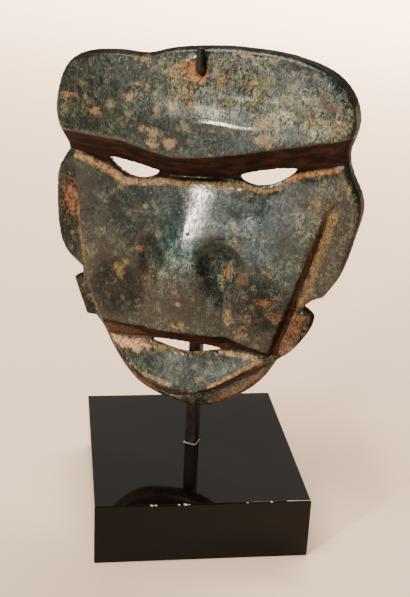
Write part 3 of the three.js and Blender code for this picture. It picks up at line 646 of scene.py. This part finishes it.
def nose_front(piece):
    """Draws the nose to a blunt crest, its right side nearly level and its left side falling away."""
    places = vertices(piece)
    facing = normals(piece)
    across, height, depth = on_mask(places)
    heights, crest, was, wanted = np.array(CREST).T
    aside = across - np.interp(height, heights, crest)
    top = np.interp(height, heights, wanted)
    reach = np.interp(height, (70, 74.5, 77), (3, 6, 12))
    stop = np.interp(height, (70, 74.5, 77), (8, 14, 30))
    curved = np.clip(aside, 0, NOSE_ROUND_REACH)
    beyond = 2 * NOSE_ROUNDING * NOSE_ROUND_REACH * (aside - curved)
    level = top - NOSE_FALL * aside - NOSE_ROUNDING * curved ** 2 - beyond
    right = (level - depth) * (1 - smooth(reach, stop, aside))
    left = (top - np.interp(height, heights, was)) * (1 - smooth(0, 10, -aside))
    change = np.where(aside > 0, right, left)
    change *= smooth(60, 63, height) * (1 - smooth(90, 93.5, height)) * smooth(0.2, 0.5, -facing[:, 1])
    places[:, 1] -= change * MM
    set_vertices(piece, places)


def under(upper_row, lower_row, across, height):
    """1 on the undercut band between two rows."""
    upper = row_height(upper_row, across)
    lower = row_height(lower_row, across)
    return smooth(-0.6, 0.6, height - lower) * smooth(-0.8, 1.2, upper - height)


def weathered(piece):
    """Relief finer than the solid's: ridges, tool marks, pits and small chips along edges."""
    places = vertices(piece)
    facing = normals(piece)
    across, height, _ = on_mask(places)
    front = smooth(0.2, 0.6, -facing[:, 1])

    ridge = 120.2 + 0.04 * across
    crown_ridge = 129.5 - 0.03 * across
    rising = np.clip((height - ridge) / (crown_ridge - ridge), 0, 1)
    falling = np.clip((143 - height) / (143 - crown_ridge), 0, 1)
    lift = FOREHEAD_SWELL * np.minimum(rising, falling) * smooth(4, 34, across) * front

    waves = 0.13 * noise_at(places, 15, 3.1) + 0.05 * noise_at(places, 4.5, 7.7)
    underside = under(BROW_ROW, VALLEY_ROW, across, height) * smooth(0, 0.3, -facing[:, 2])
    strokes = STROKE_DEPTH * noise_at(places * (1, 0.4, 0.25), 1.5, 5.0) * underside
    sideways = smooth(0.35, 0.7, np.hypot(facing[:, 0], facing[:, 2])) * (1 - underside)
    chips = CHIP_DEPTH * smooth(0.3, 0.7, noise_at(places, 3.1, 11.0)) * sideways

    sunk = np.zeros(len(places))
    for mark in PITS:
        sunk = np.maximum(sunk, PIT_DEPTH * smooth(0, 0.8, within(mark, across, height)) * front)
    steep = smooth(0.6, 0.9, np.hypot(facing[:, 0], facing[:, 2]))
    throat = smooth(0.05, 0.3, within(HOLE, across, height)) * steep
    moved = (lift + waves + strokes + HOLE_LINING * throat - chips - sunk * (1 - throat)) * MM
    set_vertices(piece, places + facing * moved[:, None])


def store(piece, name, values):
    """Stores one value or one colour for each vertex."""
    kind = "FLOAT" if values.ndim == 1 else "FLOAT_COLOR"
    layer = piece.data.attributes.new(name, kind, "POINT")
    layer.data.foreach_set("value" if kind == "FLOAT" else "color", values.astype(np.float32).ravel())


def painted(piece, name, marks, reach, start):
    """Stores the tone of the nearest mark and, as its alpha, how deep inside it each vertex lies."""
    colours = np.tile(np.array(start), (len(reach), 1))
    amount = np.full(len(reach), -1.0)
    for colour, inside in marks:
        here = np.where(reach > 0.5, inside, -1.0)
        colours[here > amount, :3] = colour[:3]
        amount = np.maximum(amount, here)
    colours[:, 3] = np.maximum(amount, -1.0)
    store(piece, name, colours)


def along(points, half_width, across, height):
    """1 on a freehand line, 0 at its half width and less outside."""
    nearest = np.full(len(across), 1e3)
    for (ax, ay), (bx, by) in zip(points, points[1:]):
        run = (bx - ax) ** 2 + (by - ay) ** 2
        t = np.clip(((across - ax) * (bx - ax) + (height - ay) * (by - ay)) / run, 0, 1)
        nearest = np.minimum(nearest, np.hypot(across - ax - t * (bx - ax), height - ay - t * (by - ay)))
    return 1 - nearest / half_width


def tinted(piece):
    """Stores where the stone's tints, lumps, worn lines, pits and earth lie, with the painted shade, sheen
    and highlights among them.
    """
    places = vertices(piece)
    facing = normals(piece)
    across, height, _ = on_mask(places)
    front = smooth(0.0, 0.4, -facing[:, 1] + 0.3)

    total = np.full(len(places), BARE_SHARE)
    wash = np.outer(total, BARE_STONE)
    for colour, mark in WASHES:
        weight = np.exp(-1.6 * (1 - within(mark, across, height)) ** 2) * front
        total += weight
        wash += np.outer(weight, colour)
    store(piece, "wash", wash / total[:, None] / BARE_STONE)

    lumps = [(colour, within(mark, across, height)) for colour, marks in LUMPS.values() for mark in marks]
    painted(piece, "inlay", lumps, front, LUMPS["tan"][0])
    lines = [(colour, along(points, width, across, height)) for colour, width, points in LINES]
    lines.append((HOLE_TONE, within(HOLE, across, height)))
    painted(piece, "line", lines, front, LINES[0][0])

    pit = np.zeros(len(places))
    for mark in PITS:
        pit = np.maximum(pit, within(mark, across, height) * front)
    store(piece, "pit", pit)
    lumpiness = smooth(104, 112, height) * smooth(-30, -10, across)
    store(piece, "lumpiness", np.clip(0.25 + lumpiness, 0, 1))

    grooves = np.zeros(len(places))
    for half_width, points in GROOVES:
        grooves = np.maximum(grooves, along(points, half_width, across, height))
    # Painted shade, with earth: the bands under the brow and the upper lip are painted dark red-brown
    brow = under(BROW_ROW, LEDGE_ROW, across, height)
    lip = under(LIP_ROW, MOUTH_ROW, across, height - 0.7) * (np.abs(across) < 37)
    store(piece, "earth", np.clip(brow + 0.9 * lip + grooves, 0, 1) * front)
    off = np.clip(height - row_height(STREAK, across), -4, 4)
    beyond = np.maximum(STREAK[0][0] - across, across - STREAK[-1][0])
    off = off + np.where(off < 0, -2, 2) * smooth(-4, 1, beyond)
    store(piece, "streak", np.where((beyond > 1) | (front < 0.5), 4, off))
    dulled = np.zeros(len(places))
    for strength, mark in DULLED:
        dulled = np.maximum(dulled, strength * smooth(0, 0.5, within(mark, across, height)) * front)
    store(piece, "dulled", dulled)
    # Painted shade on the flanks that face sideways, kept off the brow's underside
    edgeward = np.hypot(facing[:, 0], np.clip(facing[:, 2], 0, 1))
    store(piece, "rim", smooth(0.55, 0.9, edgeward) * (1 - brow))


def carved_mask():
    piece = copy_of("mask", "carved_mask")
    subdivided(piece, angle=24, levels=2, rounding=4, fairing=8, soft=nose_and_cheeks)
    nose_front(piece)
    weathered(piece)
    tinted(piece)
    activate(piece)
    bpy.ops.object.shade_smooth()
    piece.data.materials.append(green_stone())
    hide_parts("mask")
    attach(piece, "root")


# Chips along the block's front upper edge: (distance from its middle, radius), in millimetres
EDGE_CHIPS = [(-20, 0.7), (-18.4, 0.6), (-9.5, 0.6), (-7, 0.8), (-5.6, 0.5), (17, 0.5), (26.5, 0.6)]


def edge_chips():
    """Small lumps along the block's front upper edge, to be cut away from it."""
    chips = []
    for aside, size in EDGE_CHIPS:
        place = Vector((aside * MM, -BLOCK_DEPTH / 2, BLOCK_TOP))
        place.rotate(Matrix.Rotation(BLOCK_TURN, 3, "Z"))
        deselect()
        bpy.ops.mesh.primitive_ico_sphere_add(subdivisions=2, radius=size * MM, location=place)
        bpy.ops.transform.resize(value=(1.5, 0.7, 0.6))
        bpy.ops.object.transform_apply(location=True, rotation=True, scale=True)
        chips.append(bpy.context.object)
    for chip in chips:
        chip.select_set(True)
    bpy.ops.object.join()
    return bpy.context.object


def block():
    piece = copy_of("base_block", "polished_block")
    chips = edge_chips()
    chips.data.materials.append(chipped_edge_and_glint())
    piece.data.materials.append(polished_black("polished_black", 0.15))
    piece.data.materials.append(chips.data.materials[0])
    piece.data.materials.append(polished_black("polished_top", 0.5))
    modify(piece, "BOOLEAN", operation="DIFFERENCE", object=chips, solver="EXACT", use_self=True,
           material_mode="TRANSFER")
    bpy.data.objects.remove(chips)
    modify(piece, "BEVEL", width=0.2 * MM, segments=2, limit_method="ANGLE", angle_limit=math.radians(30))
    for face in piece.data.polygons:
        if face.normal.z > 0.9 and face.material_index == 0:
            face.material_index = 2
    activate(piece)
    bpy.ops.object.shade_smooth_by_angle(angle=math.radians(35))
    modify(piece, "WEIGHTED_NORMAL", weight=100, keep_sharp=True)
    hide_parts("base_block")
    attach(piece, "root")


def bar(steel):
    piece = copy_of("post", "steel_bar")
    modify(piece, "BEVEL", width=0.45 * MM, segments=3, limit_method="ANGLE")
    activate(piece)
    bpy.ops.object.shade_smooth_by_angle(angle=math.radians(40))
    piece.data.materials.append(steel)
    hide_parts("post")
    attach(piece, "root")


def hook(steel):
    """The pin, a little thicker in its lower part, which lies in the hole."""
    piece = copy_of("hook_pin", "steel_hook")
    subdivided(piece, angle=50, levels=1, rounding=1, fairing=1)
    places = vertices(piece)
    lower_part = 1 - smooth(HOOK_FOOT + 2.5 * MM, HOOK_FOOT + 5 * MM, places[:, 2])
    set_vertices(piece, places + normals(piece) * (HOOK_THICKENING * MM * lower_part)[:, None])
    activate(piece)
    bpy.ops.object.shade_smooth_by_angle(angle=math.radians(50))
    piece.data.materials.append(steel)
    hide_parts("hook_pin")
    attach(piece, "root")


def glue_collar():
    """A thin uneven bead of glue round the bar's foot."""
    deselect()
    bpy.ops.mesh.primitive_cube_add(size=1, location=(BAR_X, BAR_Y, BLOCK_TOP + 0.05 * MM))
    piece = bpy.context.object
    piece.name = "glue_collar"
    side = BAR_SIDE + 0.8 * MM
    bpy.ops.transform.resize(value=(side, side, 0.5 * MM))
    bpy.ops.object.transform_apply(location=True, rotation=True, scale=True)
    modify(piece, "BEVEL", width=0.2 * MM, segments=2)
    bpy.ops.object.mode_set(mode="EDIT")
    bpy.ops.mesh.select_all(action="SELECT")
    bpy.ops.mesh.subdivide(number_cuts=6)
    bpy.ops.mesh.select_all(action="DESELECT")
    bpy.ops.object.mode_set(mode="OBJECT")
    places = vertices(piece)
    foot = np.array((BAR_X, BAR_Y, BLOCK_TOP))
    uneven = 1 + 0.12 * noise_at(places, 1.4, 2.0)
    stretch = np.stack([uneven, uneven, np.ones(len(places))], -1)
    set_vertices(piece, foot + (places - foot) * stretch)
    activate(piece)
    bpy.ops.object.shade_smooth_by_angle(angle=math.radians(40))
    piece.data.materials.append(dried_glue())
    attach(piece, "root")


# Stage

def camera():
    view = bpy.data.cameras.new("photo_view")
    view.sensor_fit = "VERTICAL"
    view.sensor_height = SENSOR
    view.lens = FOCAL_PIXELS * SENSOR / PHOTO_HEIGHT
    view.clip_start = 0.01
    eye = bpy.data.objects.new("photo_view", view)
    bpy.context.scene.collection.objects.link(eye)
    back = CAMERA_RIGHT.cross(CAMERA_UP)
    turn = Matrix((CAMERA_RIGHT, CAMERA_UP, back)).transposed().to_4x4()
    eye.matrix_world = Matrix.Translation(CAMERA_AT) @ turn
    bpy.context.scene.camera = eye


def pale_floor():
    deselect()
    bpy.ops.mesh.primitive_plane_add(size=12, location=(0, 0, 0))
    floor = bpy.context.object
    floor.name = "pale_floor"
    paper = Finish("pale_paper")
    shade = paper.cloud(paper.place(), 300, detail=2.0)
    colour = paper.mix(shade, tone(243, 211, 184), tone(249, 221, 196))
    floor.data.materials.append(paper.done(paper.shader(colour, 0.85)))


def soft_light(name, toward, distance, width, tall, power, colour):
    """A soft box aimed at the middle of the mask from a direction."""
    lamp = bpy.data.lights.new(name, "AREA")
    lamp.shape = "RECTANGLE"
    lamp.size = width
    lamp.size_y = tall
    lamp.energy = power
    lamp.color = colour
    box = bpy.data.objects.new(name, lamp)
    bpy.context.scene.collection.objects.link(box)
    middle = Vector((BAR_X, BAR_Y, CHIN_Z + 75 * MM))
    azimuth, elevation = (math.radians(part) for part in toward)
    level = math.cos(elevation)
    away = Vector((math.sin(azimuth) * level, -math.cos(azimuth) * level, math.sin(elevation)))
    box.location = middle + away * distance
    box.rotation_euler = away.to_track_quat("Z", "Y").to_euler()
    return box


def studio():
    world = bpy.data.worlds.new("pale_room")
    bpy.context.scene.world = world
    world.use_nodes = True
    room = world.node_tree.nodes["Background"]
    room.inputs["Color"].default_value = tone(240, 224, 202)
    room.inputs["Strength"].default_value = 0.16
    soft_light("key_window", (-17.5, 16), 1.3, 0.065, 0.17, 16.0, (1, 0.9, 0.74))
    soft_light("side_fill", (-6, 2), 1.6, 0.5, 0.5, 2.6, (0.92, 0.97, 1))
    soft_light("ceiling", (-30, 62), 1.3, 0.8, 0.8, 20.5, (1, 0.93, 0.84))
    soft_light("back_card", (201, 22), 1.8, 1.6, 0.9, 1.3, (1, 0.95, 0.88))
    backdrop = soft_light("backdrop_light", (180, 50), 3.2, 3.0, 2.0, 270.0, (1, 0.9, 0.79))
    backdrop.location = (0, 2.2, 2.0)
    backdrop.rotation_euler = (0, 0, 0)
    backdrop.data.spread = math.radians(100)


def main():
    camera()
    pale_floor()
    studio()
    carved_mask()
    block()
    steel = blackened_steel()
    bar(steel)
    hook(steel)
    glue_collar()


main()
